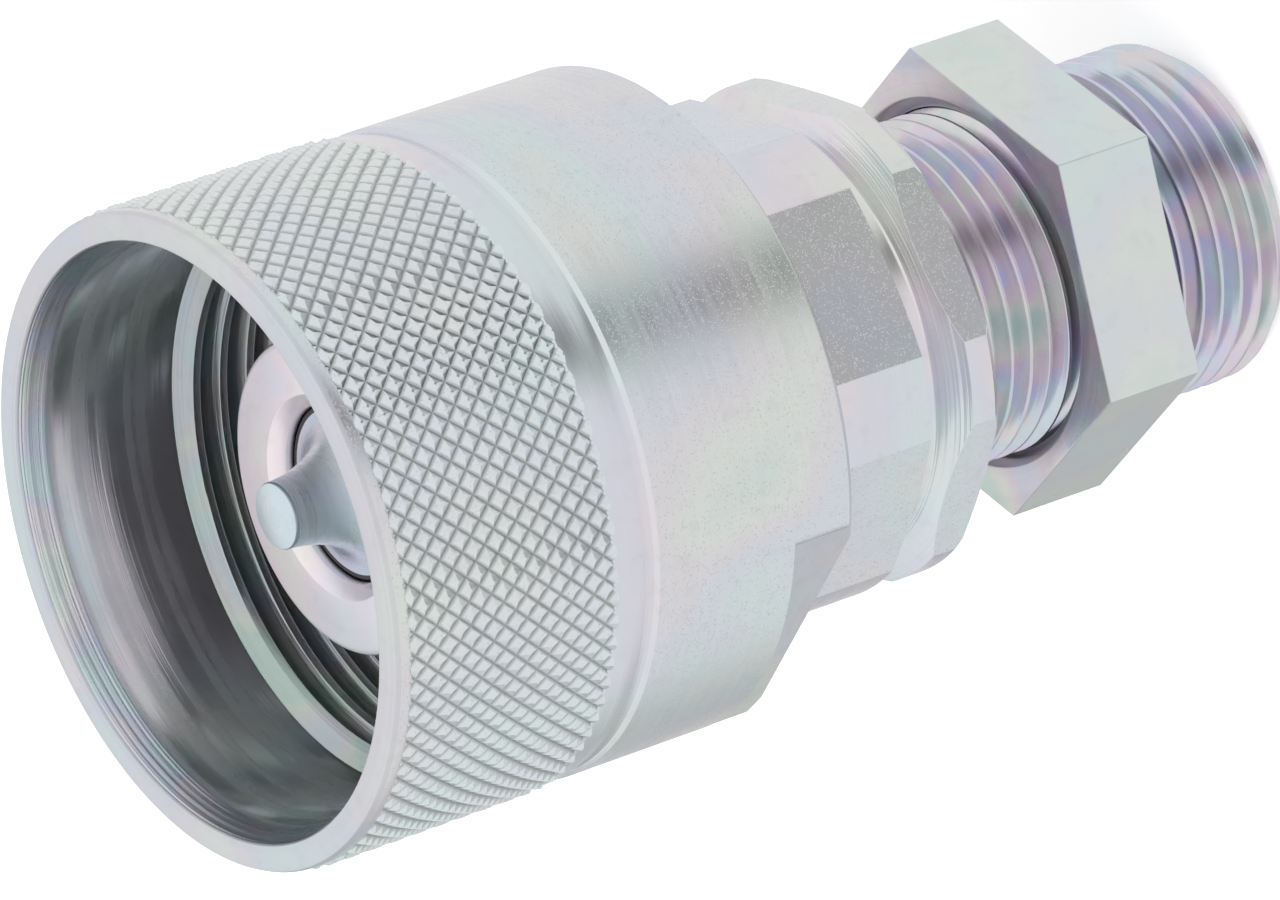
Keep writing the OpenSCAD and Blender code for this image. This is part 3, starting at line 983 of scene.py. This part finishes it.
@dataclass
class LockNut:
    """The bulkhead lock nut."""

    shop: ShopEffects
    turn_angle: float = 41.0
    half_flats: float = 13.0
    bore: float = 11.04
    sink: float = 0.85
    low: float = field(init=False)
    high: float = field(init=False)

    def __post_init__(self) -> None:
        """Takes the nut's place from the frame."""
        self.low = low_z("lock_nut")
        self.high = high_z("lock_nut")

    def build(self) -> None:
        """Builds the nut."""
        corner = self.half_flats / math.cos(math.radians(30))
        bm = turn([
            (self.bore, self.low + self.sink), (self.bore + self.sink, self.low),
            (corner + 0.5, self.low), (corner + 0.5, self.high),
            (self.bore + self.sink, self.high), (self.bore, self.high - self.sink),
        ], steps=168)
        for angle in HEXAGON:
            mill_flat(bm, self.half_flats, angle)
        break_edges(bm, 0.09, angle=25.0)
        turn_by(bm, self.turn_angle)
        paint(bm, lambda middle, normal: 1 if abs(normal.z) > 0.3
              or math.hypot(middle.x, middle.y) < self.bore + 0.5 else 0)
        finish_piece(
            bm, "lock_nut_body", "nut", [NUT_ZINC, NUT_FACE_ZINC], self.shop,
            ("lock_nut",),
        )


@dataclass
class ValveNose:
    """The nose with the conical seat, and the poppet that closes it."""

    shop: ShopEffects
    nose: float = 10.0
    root: float = 11.5
    root_height: float = 2.4
    thread: float = 10.4
    chamber: float = 8.0
    orifice: float = 5.6
    sink: float = 0.8
    ring: float = 1.2
    tip: float = 2.1
    flare: float = 5.2
    neck: float = 4.6
    low: float = field(init=False)
    face: float = field(init=False)
    seat: float = field(init=False)
    tip_z: float = field(init=False)
    plate_z: float = field(init=False)

    def __post_init__(self) -> None:
        """Takes the places of the nose and the poppet from the frame."""
        self.low = low_z("nose_bushing")
        self.face = high_z("nose_bushing")
        self.seat = high_z("poppet_seal")
        self.tip_z = high_z("poppet")
        self.plate_z = low_z("poppet")

    def build(self) -> None:
        """Builds the nose and the poppet."""
        n, o, f = self.nose, self.orifice, self.face
        shoulder = self.low + 6.4
        nose = turn([
            (self.chamber, self.low), (self.thread, self.low), (self.thread, self.low + self.ring),
            (self.thread - self.ring, self.low + self.ring),
            (self.thread - self.ring, self.low + 2 * self.ring),
            (self.thread, self.low + 2 * self.ring), (self.thread, shoulder),
            (self.root, shoulder), (self.root, shoulder + self.root_height - 0.2),
            (self.root - 0.2, shoulder + self.root_height), (n + 0.1, shoulder + self.root_height),
            (n, shoulder + self.root_height + 0.1), (n, f - 0.55), (n - 0.18, f - 0.2),
            (n - 0.55, f), (o + self.sink + 0.06, f), (o + self.sink - 0.05, f - 0.07),
            (o + 0.05, f - self.sink + 0.05), (o, f - self.sink - 0.05), (o, self.seat),
            (self.chamber, self.seat - self.chamber + o),
        ], steps=160)
        finish_piece(
            nose, "nose_seat", "body", [NOSE_ZINC], self.shop, ("nose_bushing",)
        )
        height = self.tip_z - self.seat
        flank = [
            (self.tip + (self.flare - self.tip) * (1 - math.sin(a)),
             self.seat + height * (1 - math.cos(a)))
            for a in (math.radians(90 * i / 24) for i in range(24))
        ]
        poppet = turn(
            [(0.0, self.plate_z), (self.neck, self.plate_z), (self.neck, self.seat - 0.05),
             (self.neck + 0.05, self.seat)]
            + flank
            + [(self.tip, self.tip_z - 0.14), (self.tip - 0.05, self.tip_z - 0.05),
               (self.tip - 0.16, self.tip_z), (0.0, self.tip_z)],
            steps=96, closed=False,
        )
        finish_piece(
            poppet, "poppet_head", "poppet", [POPPET_ZINC], self.shop, ("poppet",)
        )


@dataclass
class ValveSpring:
    """The coil that shortens between the valve body and the poppet."""

    shop: ShopEffects
    weld: float = 1e-6

    def build(self) -> None:
        """Copies the coil and dresses it in place of the CAD node."""
        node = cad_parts["valve_spring"]
        bm = bmesh.new()
        bm.from_mesh(node.data)
        bmesh.ops.remove_doubles(bm, verts=bm.verts, dist=self.weld)
        coil = finish_piece(
            bm, "spring_coil", "body", [SPRING_STEEL], self.shop, ("valve_spring",),
            even=False, rides=False,
        )
        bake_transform(coil)


@dataclass
class InnerWorks:
    """The CAD nodes that stay, and their finishes."""

    shop: ShopEffects

    def build(self) -> None:
        """Dresses each CAD node that is still shown."""
        finishes: dict[str, MetalFinish | PolymerFinish] = {
            "valve_body": TURNED_ZINC, "poppet_stem": HIDDEN_STEEL, "seal_washer": HIDDEN_STEEL,
            "spring_washer": HIDDEN_STEEL, "valve_guide": HIDDEN_STEEL,
            "guide_snap_ring": SPRING_STEEL,
            "poppet_seal": SEAL_RUBBER, "body_oring": SEAL_RUBBER,
            "bushing_oring": SEAL_RUBBER, "sleeve_wiper": SEAL_RUBBER,
            "body_backup_ring": RING_PLASTIC, "sleeve_slip_ring": RING_PLASTIC,
        }
        for name, finish in finishes.items():
            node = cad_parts[name]
            node.data.materials.clear()
            node.data.materials.append(finish.material(self.shop))
            log.info("%s: %s", name, finish.name)


# ------------------------------------------------------------------ the studio


@dataclass
class Studio:
    """The white tent, its lamps, the floor and the camera."""

    lens: float = 379.6875
    place: Vector = field(default_factory=lambda: Vector((-0.0951008, -0.6868586, 0.4808812)))
    right: Vector = field(default_factory=lambda: Vector((-0.3890297, -0.4569370, -0.7999153)))
    above: Vector = field(default_factory=lambda: Vector((0.9143909, -0.2971036, -0.2749886)))
    tent_level: float = 0.92
    dips: tuple[tuple[float, float, float], ...] = ((-74.0, 22.0, 0.62), (122.0, 46.0, 0.36))
    lamp_distance: float = 0.9
    lamp_rows: tuple[tuple[str, float, float, float, float], ...] = (
        ("key", -150.0, 55.0, 0.6, 3.2), ("fill", 20.0, 40.0, 0.8, 1.6),
    )

    def build(self) -> None:
        """Sets up the studio."""
        self.camera()
        self.tent()
        self.floor()
        self.lamps()
        bpy.context.scene.view_settings.view_transform = "Standard"

    def camera(self) -> None:
        """Puts the camera where the coupling is seen from."""
        data = bpy.data.cameras.new("camera")
        data.lens, data.sensor_width, data.sensor_fit = self.lens, 36.0, "HORIZONTAL"
        data.clip_start, data.clip_end = 0.05, 20.0
        camera = bpy.data.objects.new("camera", data)
        back = self.right.cross(self.above)
        turn3 = Matrix((self.right, self.above, back)).transposed()
        camera.matrix_world = Matrix.Translation(self.place) @ turn3.to_4x4()
        bpy.context.scene.collection.objects.link(camera)
        bpy.context.scene.camera = camera

    def tent(self) -> None:
        """A white tent, darker on the camera's side and less so on the far side."""
        world = bpy.data.worlds.new("tent")
        bpy.context.scene.world = world
        world.use_nodes = True
        tree = world.node_tree
        make = NodeMaker(tree)
        plain = tree.nodes["Background"]
        way = make.add("ShaderNodeTexCoord").outputs["Generated"]
        split = make.add("ShaderNodeSeparateXYZ")
        make.feed(split.inputs[0], way)
        azimuth = make.sum("ARCTAN2", split.outputs["Y"], split.outputs["X"])
        low = make.stretch(split.outputs["Z"], 0.25, -0.1)
        level: object = self.tent_level
        for centre, width, depth in self.dips:
            off = make.sum("SUBTRACT", azimuth, math.radians(centre))
            away = make.sum("ABSOLUTE", off)
            dip = make.stretch(away, math.radians(width), 0.0)
            shade = make.sum("MULTIPLY", make.sum("MULTIPLY", dip, low), depth)
            level = make.sum("SUBTRACT", level, shade)
        high = make.stretch(split.outputs["Z"], 0.3, 0.6)
        level = make.sum("MULTIPLY_ADD", high, 0.08, level)
        light_path = make.add("ShaderNodeLightPath")
        glossy = light_path.outputs["Is Glossy Ray"]
        seen = light_path.outputs["Is Camera Ray"]
        other = make.sum("MULTIPLY_ADD", seen, 0.25, 0.75)
        mix = make.add("ShaderNodeMix", data_type="FLOAT")
        make.feed(mix.inputs["Factor"], glossy)
        make.feed(mix.inputs[2], other)
        make.feed(mix.inputs[3], level)
        make.feed(plain.inputs["Strength"], mix.outputs[0])
        plain.inputs["Color"].default_value = (1.0, 1.0, 1.0, 1.0)

    def floor(self) -> None:
        """A pale floor that keeps the coupling's shadow."""
        bm = bmesh.new()
        bmesh.ops.create_circle(bm, cap_ends=True, segments=96, radius=6.0)
        mesh = bpy.data.meshes.new("floor")
        bm.to_mesh(mesh)
        bm.free()
        floor = bpy.data.objects.new("floor", mesh)
        bpy.context.scene.collection.objects.link(floor)
        material, make, shader = new_material("floor_paper")
        shader.inputs["Base Color"].default_value = (0.9, 0.9, 0.9, 1.0)
        shader.inputs["Roughness"].default_value = 0.9
        shader.inputs["Specular IOR Level"].default_value = 0.1
        shader.inputs["Emission Color"].default_value = (1.0, 1.0, 1.0, 1.0)
        seen = make.add("ShaderNodeLightPath").outputs["Is Camera Ray"]
        make.feed(shader.inputs["Emission Strength"], make.sum("MULTIPLY", seen, 0.34))
        mesh.materials.append(material)
        floor.visible_glossy = False

    def lamps(self) -> None:
        """Two large soft lamps."""
        for name, azimuth, height, size, power in self.lamp_rows:
            data = bpy.data.lights.new(name, "AREA")
            data.energy, data.size = power, size
            lamp = bpy.data.objects.new(name, data)
            a, e = math.radians(azimuth), math.radians(height)
            way = Vector((math.cos(a) * math.cos(e), math.sin(a) * math.cos(e), math.sin(e)))
            lamp.location = way * self.lamp_distance + Vector((0.0, 0.0, 0.04))
            lamp.rotation_euler = way.to_track_quat("Z", "Y").to_euler()
            lamp.visible_glossy = False
            bpy.context.scene.collection.objects.link(lamp)


def main() -> None:
    """Builds the coupling and the studio."""
    logging.basicConfig(level=logging.INFO, format="%(name)s: %(message)s")
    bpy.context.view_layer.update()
    shop = ShopEffects()
    UnionSleeve(shop).build()
    HexAdaptor(shop).build()
    LockNut(shop).build()
    ValveNose(shop).build()
    ValveSpring(shop).build()
    InnerWorks(shop).build()
    Studio().build()


if __name__ == "__main__":
    main()
